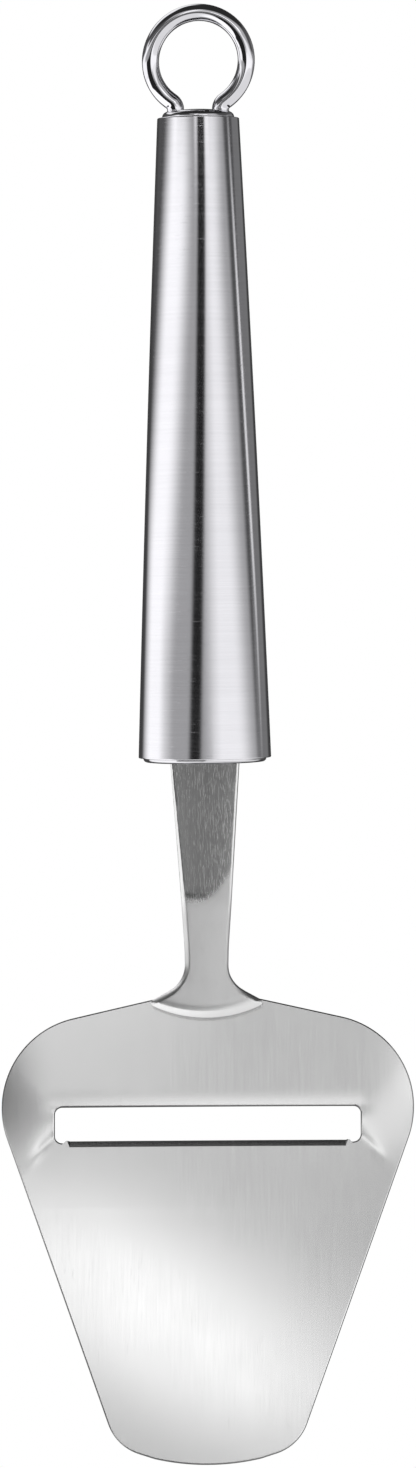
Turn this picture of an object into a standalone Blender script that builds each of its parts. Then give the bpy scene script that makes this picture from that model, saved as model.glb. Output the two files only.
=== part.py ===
# Cheese slicer with a hollow steel handle, upright as it hangs from its wire loop.
# Metres, +Z up along the handle, front of the blade towards -Y, X across the blade.
# The origin is the point inside the loop where a hook carries the slicer.

import math

import bmesh
import bpy
from mathutils import Vector

MM = 0.001

# Fits
SEAT_GAP = 0.2 * MM  # left between pieces that are pressed or welded together

# Hanging loop, bent from round wire
LOOP_WIRE = 2.85 * MM  # wire diameter
LOOP_INSIDE = 13.1 * MM  # clear diameter of the ring
LEG_SPACING = 7.5 * MM  # between the legs where they enter the handle
LEG_BEND = 1.6 * MM  # centreline radius where the ring turns into a leg, just above the rear plug
LEG_END = 2.5 * MM  # legs run this far past the rear plug's inner face

# Handle tube, slightly swollen between its two ends
HANDLE_LENGTH = 106.6 * MM
HANDLE_REAR_DIAMETER = 13.65 * MM
HANDLE_FRONT_DIAMETER = 22.2 * MM
HANDLE_SWELL = 0.16 * MM  # radius above a straight taper at mid length
HANDLE_WALL = 0.6 * MM
RIM_CHAMFER = 0.15 * MM

# Rear plug and front cup
CAP_LIP = 0.1 * MM  # straight part of a cap's side that shows outside the tube
REAR_CAP_CROWN = 0.4 * MM  # the plug's face is domed by this much
REAR_CAP_ROUND = 1.0 * MM
REAR_CAP_DEPTH = 4.5 * MM  # goes into the tube
FRONT_CAP_CROWN = 0.3 * MM
FRONT_CAP_ROUND = 0.6 * MM
FRONT_CAP_DEPTH = 5.0 * MM
FRONT_CAP_WALL = 1.2 * MM

# Shank, a flat bar with a bend, a neck and a flared foot
SHANK_THICKNESS = 2.5 * MM
SHANK_WIDTH = 11.5 * MM  # at the handle
SHANK_EDGE_ROUND = 0.5 * MM
TANG_LENGTH = 18.0 * MM  # inside the handle, from the front rim
TANG_CORNER = 1.5 * MM
KNEE_RISE = 9.7 * MM  # above the foot's tips, where the taper eases
KNEE_WIDTH = 7.35 * MM
KNEE_RADIUS = 40.0 * MM
NECK_WIDTH = 7.15 * MM
FLARE_RADIUS = 5.0 * MM
FOOT_WIDTH = 18.5 * MM
FOOT_TIP_AT = 17.41 * MM  # below the bend, along the plate
FOOT_TIP_RADIUS = 0.6 * MM
FOOT_SLOPE = math.radians(28.0)
FOOT_BULGE = 2.2 * MM  # lowest point of the foot's curved edge below its tips
BEND_AT = 24.2 * MM  # below the front rim
BEND_ANGLE = math.radians(12.0)
BEND_RADIUS = 25.0 * MM

# Blade, one stamped sheet
BLADE_SHEET = 1.2 * MM
BLADE_WIDTH = 68.9 * MM
BLADE_LENGTH = 79.5 * MM
FOOT_LAP = 5.4 * MM  # foot's lowest point below the blade's top point
BLADE_TOP_SLOPE = math.radians(12.7)
BLADE_SIDE_SLOPE = math.radians(19.8)
SHOULDER_RADIUS = 15.3 * MM
TIP_RADIUS = 39.0 * MM
TIP_CORNER = 8.0 * MM

# Slot and cutting edge
SLOT_TOP_AT = 20.0 * MM  # below the blade's top point
SLOT_HEIGHT = 5.6 * MM
STRIP_WIDTH = 8.9 * MM  # sheet left beside each end of the slot
SLOT_UPPER_CORNER = 1.2 * MM
SLOT_LOWER_CORNER = 1.6 * MM
LIP_INSET = 1.9 * MM  # slot end to the end of the cutting edge
LIP_RELIEF = 0.4 * MM  # slot corners lie this far below the cutting edge
BEVEL_RUN = 1.1 * MM
BEVEL_RUNOUT = 1.2 * MM  # ground bevel fades over this length at its ends
EDGE_LAND = 0.1 * MM  # blunt thickness left on the cutting edge

# Pressed form of the blade
EDGE_DROP = 0.5 * MM  # cutting edge behind the upper plate
STRIP_FALL = 1.3  # how far the pressed zone reaches down per unit beside the slot
STRIP_RISE = 1.2  # how far it reaches up
FOLD_SHARE = 0.8  # share of the pressed zone above the sharper fold at its lower end
CURL_RADIUS = 200.0 * MM  # sheet beside the slot curls towards the back
CURL_AT = 19.0 * MM  # curl is strongest this far below the blade's top point
CURL_REACH = 15.0 * MM  # and dies out this far above and below
BOW_RADIUS = 400.0 * MM  # lower plate curves towards the front along its length
CROWN_RADIUS = 900.0 * MM  # and away from the front across its width
CROWN_RUN = 14.0 * MM  # the crown sets in over this length below the cutting edge

# Weld beads inside the handle
TANG_BEAD = 1.6 * MM  # bead diameter
TANG_BEAD_INSET = 1.35 * MM  # bead's ends to the tang's narrow sides
LOOP_BEAD = 2.0 * MM

# Mesh fineness
ARC_ERROR = 0.015 * MM  # how far a facet may lie inside its arc
TURNED_STEPS = 64
HOLE_STEPS = 24
HANDLE_RINGS = 10  # rows of facets along the handle
DOME_RINGS = 4  # rings of facets on a cap's face
ROUND_STEPS = 3  # facets across a rounded edge of the shank
BEND_STEPS = 8
BEAD_SIDES = 2
WIRE_SIDES = 3
FORM_PITCH = 1.5 * MM  # spacing of the cuts where the blade is pressed
PLATE_PITCH = 4.0 * MM  # spacing of the cuts where it only bows
SLOT_PITCH = 12.0 * MM  # spacing of the cuts along the slot
SAME_PLACE = 0.001 * MM  # points closer than this are one
SAME_PLANE = math.radians(0.5)  # faces closer than this are one
SMOOTH_ANGLE = math.radians(35.0)  # edges sharper than this stay crisp
RIM_ANGLE = math.radians(60.0)  # edges sharper than this are the rims of a cut sheet
OVERRUN = 2.0  # a cutter is this many times as long as what it cuts

# Levels along the handle
RING_RADIUS = (LOOP_INSIDE + LOOP_WIRE) / 2
RING_CENTRE_Z = -LOOP_INSIDE / 2
BEND_X = LEG_SPACING / 2 + LEG_BEND
BEND_DROP = math.sqrt((RING_RADIUS + LEG_BEND) ** 2 - BEND_X**2)
REAR_CAP_RISE = CAP_LIP + REAR_CAP_ROUND + REAR_CAP_CROWN
FRONT_CAP_RISE = CAP_LIP + FRONT_CAP_ROUND + FRONT_CAP_CROWN
REAR_RIM_Z = RING_CENTRE_Z - BEND_DROP - REAR_CAP_RISE
FRONT_RIM_Z = REAR_RIM_Z - HANDLE_LENGTH
REAR_INNER_Z = REAR_RIM_Z - REAR_CAP_DEPTH
FRONT_INNER_Z = FRONT_RIM_Z - FRONT_CAP_RISE + FRONT_CAP_WALL
BLADE_TOP_AT = FOOT_TIP_AT + FOOT_BULGE - FOOT_LAP
CUT_AT = SLOT_TOP_AT + SLOT_HEIGHT
SLOT_END = BLADE_WIDTH / 2 - STRIP_WIDTH
LIP_HALF = SLOT_END - LIP_INSET


def clear_scene():
    for item in list(bpy.data.objects):
        bpy.data.objects.remove(item, do_unlink=True)


def make_collection(name):
    collection = bpy.data.collections.new(name)
    bpy.context.scene.collection.children.link(collection)
    return collection


def make_material(name, colour, roughness):
    material = bpy.data.materials.new(name)
    material.use_nodes = True
    shader = material.node_tree.nodes["Principled BSDF"]
    shader.inputs["Base Color"].default_value = (*colour, 1.0)
    shader.inputs["Metallic"].default_value = 1.0
    shader.inputs["Roughness"].default_value = roughness
    return material


def add_piece(name, mesh, material, parent):
    piece = bpy.data.objects.new(name, mesh)
    PARTS.objects.link(piece)
    piece.data.materials.append(material)
    piece.parent = parent
    return piece


def shade_round(mesh):
    mesh.shade_smooth()
    mesh.set_sharp_from_angle(angle=SMOOTH_ANGLE)


def make_empty(name, parent=None):
    empty = bpy.data.objects.new(name, None)
    PARTS.objects.link(empty)
    empty.parent = parent
    return empty


def arc_points(centre, radius, start, end):
    # Points along an arc in the plane, both ends included.
    step = 2 * math.acos(1 - ARC_ERROR / radius)
    count = max(2, math.ceil(abs(end - start) / step))
    points = []
    for index in range(count + 1):
        angle = start + (end - start) * index / count
        points.append(centre + radius * Vector((math.cos(angle), math.sin(angle))))
    return points


def round_corner(before, corner, after, radius):
    # Tangent arc that replaces one corner of an outline.
    back = (before - corner).normalized()
    ahead = (after - corner).normalized()
    half = back.angle(ahead) / 2
    centre = corner + (back + ahead).normalized() * (radius / math.sin(half))
    reach = radius / math.tan(half)
    first = corner + back * reach - centre
    last = corner + ahead * reach - centre
    start = math.atan2(first.y, first.x)
    turn = first.angle_signed(last)
    return arc_points(centre, radius, start, start - turn)


def round_outline(corners):
    # Closed outline from (point, radius) corners; a radius of 0 keeps the corner sharp.
    outline = []
    for index, (corner, radius) in enumerate(corners):
        before = corners[index - 1][0]
        after = corners[(index + 1) % len(corners)][0]
        if radius > 0:
            outline.extend(round_corner(before, corner, after, radius))
        else:
            outline.append(corner)
    return outline


def mirror_corners(right_side, lower_edge=()):
    # Right-hand corners downwards, points along the bottom, then the same corners on the left.
    bottom = [(point, 0.0) for point in lower_edge]
    left_side = [(Vector((-point.x, point.y)), radius) for point, radius in reversed(right_side)]
    return right_side + bottom + left_side


def join_flat_faces(sheet):
    bmesh.ops.dissolve_limit(sheet, angle_limit=SAME_PLANE, verts=sheet.verts, edges=sheet.edges)


def cut_flat_sheet(name, outlines, thickness):
    # Flat solid from closed outlines; an outline inside another one is a hole.
    curve = bpy.data.curves.new(name, "CURVE")
    curve.dimensions = "2D"
    curve.fill_mode = "BOTH"
    curve.extrude = thickness / 2
    for outline in outlines:
        spline = curve.splines.new("POLY")
        spline.points.add(len(outline) - 1)
        for point, place in zip(spline.points, outline):
            point.co = (place.x, place.y, 0.0, 1.0)
        spline.use_cyclic_u = True
    drawing = bpy.data.objects.new(name, curve)
    CUTTERS.objects.link(drawing)
    depsgraph = bpy.context.evaluated_depsgraph_get()
    mesh = bpy.data.meshes.new_from_object(drawing.evaluated_get(depsgraph))
    bpy.data.objects.remove(drawing)
    sheet = bmesh.new()
    sheet.from_mesh(mesh)
    bmesh.ops.remove_doubles(sheet, verts=sheet.verts, dist=SAME_PLACE)
    join_flat_faces(sheet)
    bmesh.ops.recalc_face_normals(sheet, faces=sheet.faces)
    sheet.to_mesh(mesh)
    sheet.free()
    return mesh


def slice_sheet(sheet, axis, places):
    # Cuts edges into a flat sheet along parallel planes, so that it can be formed there.
    normal = Vector((0.0, 0.0, 0.0))
    normal[axis] = 1.0
    for place in places:
        geometry = sheet.verts[:] + sheet.edges[:] + sheet.faces[:]
        bmesh.ops.bisect_plane(
            sheet, geom=geometry, plane_co=normal * place, plane_no=normal, dist=SAME_PLACE
        )


def spread(start, end, pitch):
    # Evenly spaced places between two ends, ends included.
    count = max(1, math.ceil(abs(end - start) / pitch))
    return [start + (end - start) * index / count for index in range(count + 1)]


def turn_profile(name, profile, material, parent):
    # Turned piece: (radius, height) points from the top of its outer side downwards.
    mesh = bpy.data.meshes.new(name)
    edges = [(index, index + 1) for index in range(len(profile) - 1)]
    if profile[0][0] > 0:
        edges.append((len(profile) - 1, 0))
    mesh.from_pydata([(radius, 0.0, height) for radius, height in profile], edges, [])
    piece = add_piece(name, mesh, material, parent)
    screw = piece.modifiers.new("turn", "SCREW")
    screw.steps = TURNED_STEPS
    screw.render_steps = TURNED_STEPS
    screw.use_merge_vertices = True
    screw.merge_threshold = SAME_PLACE
    screw.use_smooth_shade = True
    return piece


def cut_away(piece, cutter):
    cutter.hide_render = True
    cutter.display_type = "WIRE"
    cut = piece.modifiers.new("cut " + cutter.name, "BOOLEAN")
    cut.operation = "DIFFERENCE"
    cut.object = cutter


def box_cutter(name, size, place):
    mesh = bpy.data.meshes.new(name)
    box = bmesh.new()
    bmesh.ops.create_cube(box, size=1.0)
    bmesh.ops.scale(box, vec=size, verts=box.verts)
    box.to_mesh(mesh)
    box.free()
    cutter = bpy.data.objects.new(name, mesh)
    CUTTERS.objects.link(cutter)
    cutter.location = place
    return cutter


def hole_cutter(name, radius, length, place):
    mesh = bpy.data.meshes.new(name)
    hole = bmesh.new()
    bmesh.ops.create_cone(
        hole, cap_ends=True, segments=HOLE_STEPS, radius1=radius, radius2=radius, depth=length
    )
    hole.to_mesh(mesh)
    hole.free()
    cutter = bpy.data.objects.new(name, mesh)
    CUTTERS.objects.link(cutter)
    cutter.location = place
    return cutter


def wire_piece(name, points, diameter, sides, material, parent):
    # Round wire or bead along points, closed at both ends.
    curve = bpy.data.curves.new(name, "CURVE")
    curve.dimensions = "3D"
    curve.bevel_depth = diameter / 2
    curve.bevel_resolution = sides
    curve.use_fill_caps = True
    spline = curve.splines.new("POLY")
    spline.points.add(len(points) - 1)
    for point, place in zip(spline.points, points):
        point.co = (*place, 1.0)
    add_piece(name, curve, material, parent)


def handle_radius(height):
    # Outer radius of the handle tube at a height between its rims.
    share = (REAR_RIM_Z - height) / HANDLE_LENGTH
    rear = HANDLE_REAR_DIAMETER / 2
    front = HANDLE_FRONT_DIAMETER / 2
    return rear + (front - rear) * share + 4 * HANDLE_SWELL * share * (1 - share)


def handle_bore(height):
    return handle_radius(height) - HANDLE_WALL


def make_handle_tube(material, parent):
    heights = spread(REAR_RIM_Z - RIM_CHAMFER, FRONT_RIM_Z + RIM_CHAMFER, HANDLE_LENGTH / HANDLE_RINGS)
    outside = [(handle_radius(height), height) for height in heights]
    inside = [(handle_bore(height), height) for height in reversed(heights)]
    rear_rim = [
        (handle_bore(REAR_RIM_Z) + RIM_CHAMFER, REAR_RIM_Z),
        (handle_radius(REAR_RIM_Z) - RIM_CHAMFER, REAR_RIM_Z),
    ]
    front_rim = [
        (handle_radius(FRONT_RIM_Z) - RIM_CHAMFER, FRONT_RIM_Z),
        (handle_bore(FRONT_RIM_Z) + RIM_CHAMFER, FRONT_RIM_Z),
    ]
    profile = rear_rim[1:] + outside + front_rim + inside + rear_rim[:1]
    turn_profile("handle_tube", profile, material, parent)


def domed_face(radius, height, inward, rounding, crown):
    # Profile of a cap's outer face, from its middle to the start of its straight side.
    flat = radius - rounding
    face = []
    for ring in range(DOME_RINGS):
        share = ring / DOME_RINGS
        face.append((flat * share, height + inward * crown * share**2))
    shoulder = Vector((flat, height + inward * (crown + rounding)))
    for point in arc_points(shoulder, rounding, -inward * math.pi / 2, 0.0):
        face.append((point.x, point.y))
    return face


def make_rear_cap(material, parent):
    # Solid plug with a rounded face and two holes for the loop's legs.
    radius = handle_bore(REAR_RIM_Z) - SEAT_GAP
    top = REAR_RIM_Z + REAR_CAP_RISE
    profile = domed_face(radius, top, -1, REAR_CAP_ROUND, REAR_CAP_CROWN)
    profile += [(radius, REAR_INNER_Z), (0.0, REAR_INNER_Z)]
    cap = turn_profile("rear_cap", profile, material, parent)
    length = OVERRUN * (REAR_CAP_RISE + REAR_CAP_DEPTH)
    for side, label in ((-1, "left"), (1, "right")):
        place = (side * LEG_SPACING / 2, 0.0, (top + REAR_INNER_Z) / 2)
        cutter = hole_cutter("leg_hole_" + label, LOOP_WIRE / 2 + SEAT_GAP, length, place)
        cut_away(cap, cutter)


def make_front_cap(material, parent):
    # Cup with a rounded face, a skirt that follows the tube's taper and a slot for the tang.
    face = FRONT_RIM_Z - FRONT_CAP_RISE
    radius = handle_bore(FRONT_RIM_Z) - SEAT_GAP
    skirt_top = FRONT_RIM_Z + FRONT_CAP_DEPTH
    skirt_radius = handle_bore(skirt_top) - SEAT_GAP
    profile = [
        (0.0, FRONT_INNER_Z),
        (radius - FRONT_CAP_WALL, FRONT_INNER_Z),
        (skirt_radius - FRONT_CAP_WALL, skirt_top),
        (skirt_radius, skirt_top),
        (radius, FRONT_RIM_Z),
    ]
    profile += reversed(domed_face(radius, face, 1, FRONT_CAP_ROUND, FRONT_CAP_CROWN))
    cap = turn_profile("front_cap", profile, material, parent)
    size = (SHANK_WIDTH + 2 * SEAT_GAP, SHANK_THICKNESS + 2 * SEAT_GAP, OVERRUN * FRONT_CAP_WALL)
    cut_away(cap, box_cutter("tang_slot", size, (0.0, 0.0, (face + FRONT_INNER_Z) / 2)))


def make_hanging_loop(material, parent):
    # Ring and two reversed bends in one plane, running into straight legs.
    lean = math.atan2(BEND_DROP, BEND_X)
    ring_centre = Vector((0.0, RING_CENTRE_Z))
    bend_centre = Vector((BEND_X, RING_CENTRE_Z - BEND_DROP))
    ring = arc_points(ring_centre, RING_RADIUS, math.pi / 2, -lean)
    bend = arc_points(bend_centre, LEG_BEND, math.pi - lean, math.pi)
    end = Vector((LEG_SPACING / 2, REAR_INNER_Z - LEG_END))
    right_side = ring + bend[1:] + [end]
    left_side = [Vector((-point.x, point.y)) for point in reversed(right_side[1:])]
    points = [(point.x, 0.0, point.y) for point in left_side + right_side]
    wire_piece("hanging_loop", points, LOOP_WIRE, WIRE_SIDES, material, parent)


def foot_curve(path_end):
    # Lower edge of the foot, an arc from right to left that ends where its tips would be sharp.
    half = FOOT_WIDTH / 2
    radius = (half**2 + FOOT_BULGE**2) / (2 * FOOT_BULGE)
    tip_angle = FOOT_SLOPE + math.asin(half / radius)
    sharp = half + FOOT_TIP_RADIUS * (1 / math.sin(tip_angle / 2) - 1)
    lean = math.asin(sharp / radius)
    centre = Vector((0.0, -path_end + radius))
    return arc_points(centre, radius, -math.pi / 2 + lean, -math.pi / 2 - lean)


def shank_outline():
    # Drawn flat, y = 0 at the front rim and downwards negative.
    bend_saving = 2 * BEND_RADIUS * math.tan(BEND_ANGLE / 2) - BEND_RADIUS * BEND_ANGLE
    path_end = BEND_AT + FOOT_TIP_AT + FOOT_BULGE - bend_saving
    edge = foot_curve(path_end)
    tip = edge[0]
    neck = NECK_WIDTH / 2
    flare = Vector((neck, tip.y + (tip.x - neck) * math.tan(FOOT_SLOPE)))
    knee = Vector((KNEE_WIDTH / 2, -path_end + FOOT_BULGE + KNEE_RISE))
    right_side = [
        (Vector((SHANK_WIDTH / 2, TANG_LENGTH)), TANG_CORNER),
        (Vector((SHANK_WIDTH / 2, -FRONT_CAP_RISE)), 0.0),
        (knee, KNEE_RADIUS),
        (flare, FLARE_RADIUS),
        (tip, FOOT_TIP_RADIUS),
    ]
    return round_outline(mirror_corners(right_side, edge[1:-1]))


def bend_shank(place):
    # Carries a point of the flat bar (x across, y along, z towards the front) round the bend.
    start = BEND_AT - BEND_RADIUS * math.tan(BEND_ANGLE / 2)
    travel = -place.y - start
    turned = min(max(travel / BEND_RADIUS, 0.0), BEND_ANGLE)
    straight = travel - BEND_RADIUS * turned
    down = Vector((0.0, -math.cos(turned), math.sin(turned)))
    front = Vector((0.0, math.sin(turned), math.cos(turned)))
    middle = Vector((place.x, -start, 0.0))
    middle.y -= BEND_RADIUS * math.sin(turned)
    middle.z += BEND_RADIUS * (1 - math.cos(turned))
    return middle + down * straight + front * place.z


def make_shank(material, parent):
    mesh = cut_flat_sheet("shank", [shank_outline()], SHANK_THICKNESS)
    bar = bmesh.new()
    bar.from_mesh(mesh)
    folds = [edge for edge in bar.edges if edge.calc_face_angle(0.0) > RIM_ANGLE]
    rims = [edge for edge in folds if abs(edge.verts[0].co.z - edge.verts[1].co.z) < SAME_PLACE]
    bmesh.ops.bevel(
        bar,
        geom=rims,
        offset=SHANK_EDGE_ROUND,
        segments=ROUND_STEPS,
        profile=0.5,
        affect="EDGES",
        clamp_overlap=False,
    )
    reach = BEND_RADIUS * math.tan(BEND_ANGLE / 2)
    slice_sheet(bar, 1, spread(-BEND_AT + reach, -BEND_AT - reach, 2 * reach / BEND_STEPS))
    for corner in bar.verts:
        corner.co = bend_shank(corner.co)
    bmesh.ops.triangulate(bar, faces=bar.faces)
    bar.to_mesh(mesh)
    bar.free()
    shade_round(mesh)
    add_piece("shank", mesh, material, parent)


def blade_outline():
    # Drawn flat, y = 0 at the hidden top point under the foot and downwards negative.
    top_slope = math.tan(BLADE_TOP_SLOPE)
    side_slope = math.tan(BLADE_SIDE_SLOPE)
    shoulder_x = BLADE_WIDTH / 2 - SHOULDER_RADIUS
    shoulder_y = -top_slope * shoulder_x - SHOULDER_RADIUS / math.cos(BLADE_TOP_SLOPE)
    side_x = shoulder_x + SHOULDER_RADIUS * math.cos(BLADE_SIDE_SLOPE)
    side_y = shoulder_y - SHOULDER_RADIUS * math.sin(BLADE_SIDE_SLOPE)
    side_start = side_x - side_slope * side_y
    corner_x = side_start / (1 + side_slope * top_slope)
    corner = Vector((corner_x, -top_slope * corner_x))
    # The side meets the tip's arc where both have the same distance from the arc's centre.
    centre = Vector((0.0, -BLADE_LENGTH + TIP_RADIUS))
    offset = side_start + side_slope * centre.y
    square = 1 + side_slope**2
    drop = math.sqrt(square * TIP_RADIUS**2 - offset**2)
    tip_y = (-side_slope * offset - drop) / square
    lean = math.acos(-tip_y / TIP_RADIUS)
    tip_arc = arc_points(centre, TIP_RADIUS, -math.pi / 2 + lean, -math.pi / 2 - lean)
    top = (Vector((0.0, 0.0)), 0.0)
    right_side = [(corner, SHOULDER_RADIUS), (tip_arc[0], TIP_CORNER)]
    return round_outline([top] + mirror_corners(right_side, tip_arc[1:-1]))


def slot_outline():
    # Slot with relieved lower corners beside the straight cutting edge.
    floor = -CUT_AT - LIP_RELIEF
    step = LIP_HALF + LIP_RELIEF
    right_side = [
        (Vector((SLOT_END, -SLOT_TOP_AT)), SLOT_UPPER_CORNER),
        (Vector((SLOT_END, floor)), min(SLOT_LOWER_CORNER, SLOT_END - step)),
        (Vector((step, floor)), 0.0),
        (Vector((LIP_HALF, -CUT_AT)), 0.0),
    ]
    return round_outline(mirror_corners(right_side))


def bevel_cutter():
    # Wedge that grinds the cutting edge from the front, with ends that fade out.
    depth = BLADE_SHEET - EDGE_LAND
    slope = math.atan2(depth, BEVEL_RUN)
    width = OVERRUN * math.hypot(depth, BEVEL_RUN)
    height = OVERRUN * BLADE_SHEET
    size = (2 * LIP_HALF + BEVEL_RUNOUT, width, height)
    middle = Vector((0.0, -CUT_AT - BEVEL_RUN / 2, BLADE_SHEET / 2 - depth / 2))
    lift = Vector((0.0, math.sin(slope), math.cos(slope))) * (height / 2)
    cutter = box_cutter("edge_bevel", size, middle + lift)
    cutter.rotation_euler = (-slope, 0.0, 0.0)
    for corner in cutter.data.vertices:
        if corner.co.z < 0:
            corner.co.x -= math.copysign(BEVEL_RUNOUT, corner.co.x)
    return cutter


def pressed_depth(across, below):
    # How far the press pushes the sheet towards the front (+) or the back (-) at a place.
    beside = max(abs(across) - SLOT_END, 0.0)
    start = SLOT_TOP_AT - STRIP_RISE * beside
    end = CUT_AT + STRIP_FALL * beside
    share = min(max((below - start) / (end - start), 0.0), 1.0)
    if share < FOLD_SHARE:
        dropped = EDGE_DROP * share**2 / FOLD_SHARE
    else:
        dropped = EDGE_DROP * (1 - (1 - share) ** 2 / (1 - FOLD_SHARE))
    away = (below - CURL_AT) / CURL_REACH
    curled = beside**2 / (2 * CURL_RADIUS) * max(1 - away**2, 0.0) ** 2
    lower = max(below - CUT_AT, 0.0)
    bowed = lower**2 / (2 * BOW_RADIUS)
    onset = min(lower / CROWN_RUN, 1.0)
    crowned = across**2 / (2 * CROWN_RADIUS) * onset**2 * (3 - 2 * onset)
    return bowed - crowned - dropped - curled


def make_blade(material, parent):
    mesh = cut_flat_sheet("blade", [blade_outline(), slot_outline()], BLADE_SHEET)
    blank = bpy.data.objects.new("blade_blank", mesh)
    CUTTERS.objects.link(blank)
    cut_away(blank, bevel_cutter())
    depsgraph = bpy.context.evaluated_depsgraph_get()
    ground = bpy.data.meshes.new_from_object(blank.evaluated_get(depsgraph))
    bpy.data.objects.remove(blank)
    sheet = bmesh.new()
    sheet.from_mesh(ground)
    join_flat_faces(sheet)
    for hand in (-1, 1):
        strip = spread(SLOT_END, BLADE_WIDTH / 2, FORM_PITCH)[:-1]
        slice_sheet(sheet, 0, [hand * place for place in strip])
    slice_sheet(sheet, 0, spread(-SLOT_END, SLOT_END, SLOT_PITCH)[1:-1])
    form_start = SLOT_TOP_AT - STRIP_RISE * STRIP_WIDTH
    form_end = CUT_AT + STRIP_FALL * STRIP_WIDTH
    slice_sheet(sheet, 1, [-place for place in spread(CURL_AT - CURL_REACH, form_start, PLATE_PITCH)[:-1]])
    slice_sheet(sheet, 1, [-place for place in spread(form_start, form_end, FORM_PITCH)])
    slice_sheet(sheet, 1, [-place for place in spread(form_end, BLADE_LENGTH, PLATE_PITCH)[1:-1]])
    for corner in sheet.verts:
        corner.co.z += pressed_depth(corner.co.x, -corner.co.y)
    bmesh.ops.triangulate(sheet, faces=sheet.faces)
    sheet.to_mesh(ground)
    sheet.free()
    shade_round(ground)
    blade = add_piece("blade", ground, material, parent)
    blade.location = (0.0, -BLADE_TOP_AT, -(SHANK_THICKNESS + BLADE_SHEET) / 2 - SEAT_GAP)


def make_tang_welds(material, parent):
    # One bead along each broad face of the tang, on the inner face of the front cup.
    half = SHANK_WIDTH / 2 - TANG_BEAD_INSET
    reach = SHANK_THICKNESS / 2 + SEAT_GAP + TANG_BEAD / 2
    height = FRONT_INNER_Z + SEAT_GAP + TANG_BEAD / 2
    for side, label in ((-1, "front"), (1, "back")):
        points = [(-half, side * reach, height), (half, side * reach, height)]
        wire_piece("tang_weld_" + label, points, TANG_BEAD, BEAD_SIDES, material, parent)


def make_loop_weld(material, parent):
    # One bead from leg to leg, under the inner face of the rear plug.
    half = LEG_SPACING / 2 - LOOP_WIRE / 2 - SEAT_GAP
    height = REAR_INNER_Z - SEAT_GAP - LOOP_BEAD / 2
    points = [(-half, 0.0, height), (half, 0.0, height)]
    wire_piece("loop_weld", points, LOOP_BEAD, BEAD_SIDES, material, parent)


clear_scene()
PARTS = make_collection("cheese_slicer")
CUTTERS = make_collection("cutters")

satin = make_material("satin_handle_steel", (0.60, 0.60, 0.62), 0.28)
plate = make_material("brushed_blade_steel", (0.66, 0.66, 0.67), 0.34)
polished = make_material("polished_wire_steel", (0.64, 0.64, 0.66), 0.12)
bead = make_material("weld_steel", (0.42, 0.41, 0.40), 0.55)

hang_point = make_empty("hang_point")
bar_plane = make_empty("bar_plane", hang_point)
bar_plane.location = (0.0, 0.0, FRONT_RIM_Z)
bar_plane.rotation_euler = (math.pi / 2, 0.0, 0.0)
blade_plane = make_empty("blade_plane", hang_point)
blade_plane.location = (0.0, 0.0, FRONT_RIM_Z - BEND_AT)
blade_plane.rotation_euler = (math.pi / 2 - BEND_ANGLE, 0.0, 0.0)

make_hanging_loop(polished, hang_point)
make_rear_cap(satin, hang_point)
make_handle_tube(satin, hang_point)
make_front_cap(satin, hang_point)
make_shank(plate, bar_plane)
make_blade(plate, blade_plane)
make_tang_welds(bead, hang_point)
make_loop_weld(bead, hang_point)
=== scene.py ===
# Cheese slicer shown upright before a white studio, as in the photograph.
# Pieces are drawn in millimetres and scaled to metres when they are finished.

import math

import bmesh
import bpy
import numpy as np
from mathutils import Matrix, Vector


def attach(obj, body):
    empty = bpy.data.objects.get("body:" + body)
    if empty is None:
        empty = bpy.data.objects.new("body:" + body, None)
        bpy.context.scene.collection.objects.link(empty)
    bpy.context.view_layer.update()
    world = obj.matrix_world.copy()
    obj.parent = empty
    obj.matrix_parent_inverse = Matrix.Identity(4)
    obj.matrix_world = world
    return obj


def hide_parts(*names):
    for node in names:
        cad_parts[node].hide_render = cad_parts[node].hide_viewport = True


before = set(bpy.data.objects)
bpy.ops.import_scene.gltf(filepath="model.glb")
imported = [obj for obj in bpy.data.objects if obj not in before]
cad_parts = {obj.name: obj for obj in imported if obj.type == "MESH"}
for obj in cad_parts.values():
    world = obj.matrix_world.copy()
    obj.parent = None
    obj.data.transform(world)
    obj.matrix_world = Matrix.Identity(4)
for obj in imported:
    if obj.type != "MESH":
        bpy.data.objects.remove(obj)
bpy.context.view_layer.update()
scene = bpy.context.scene
scene.view_settings.view_transform = "Standard"

milli = 0.001
samePlace = 0.001
arcSag = 0.004
smoothAngle = math.radians(33.0)
evenAngle = math.radians(10.0)
flatAngle = math.radians(0.5)


def pickPlug(plugs, key):
    if isinstance(key, int):
        return plugs[key]
    for plug in plugs:
        if plug.identifier == key:
            return plug
    return plugs[key]


class Socket:
    # An output in a node tree that can be calculated with.
    def __init__(self, graph, plug):
        self.graph = graph
        self.plug = plug

    def other(self, key):
        return Socket(self.graph, pickPlug(self.plug.node.outputs, key))

    def math(self, operation, *others):
        values = dict(enumerate((self, *others)))
        return self.graph.add("ShaderNodeMath", {"operation": operation}, values)

    def __add__(self, other):
        return self.math("ADD", other)

    def __radd__(self, other):
        return self.math("ADD", other)

    def __sub__(self, other):
        return self.math("SUBTRACT", other)

    def __rsub__(self, other):
        return self.math("MULTIPLY_ADD", -1.0, other)

    def __mul__(self, other):
        return self.math("MULTIPLY", other)

    def __rmul__(self, other):
        return self.math("MULTIPLY", other)

    def __truediv__(self, other):
        return self.math("DIVIDE", other)

    def __rtruediv__(self, other):
        return self.math("POWER", -1.0) * other

    def __neg__(self):
        return self.math("MULTIPLY", -1.0)

    def clamp(self):
        return self.math("MAXIMUM", 0.0).math("MINIMUM", 1.0)

    def ramp(self, start, end):
        # Smooth step from 0 at the start to 1 at the end.
        return self.graph.add(
            "ShaderNodeMapRange",
            {"interpolation_type": "SMOOTHSTEP"},
            {"Value": self, "From Min": start, "From Max": end},
        )

    def window(self, half, soft):
        # 1 within half of zero, 0 beyond it, with a soft edge.
        return self.math("ABSOLUTE").ramp(half + soft, half - soft)


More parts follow.
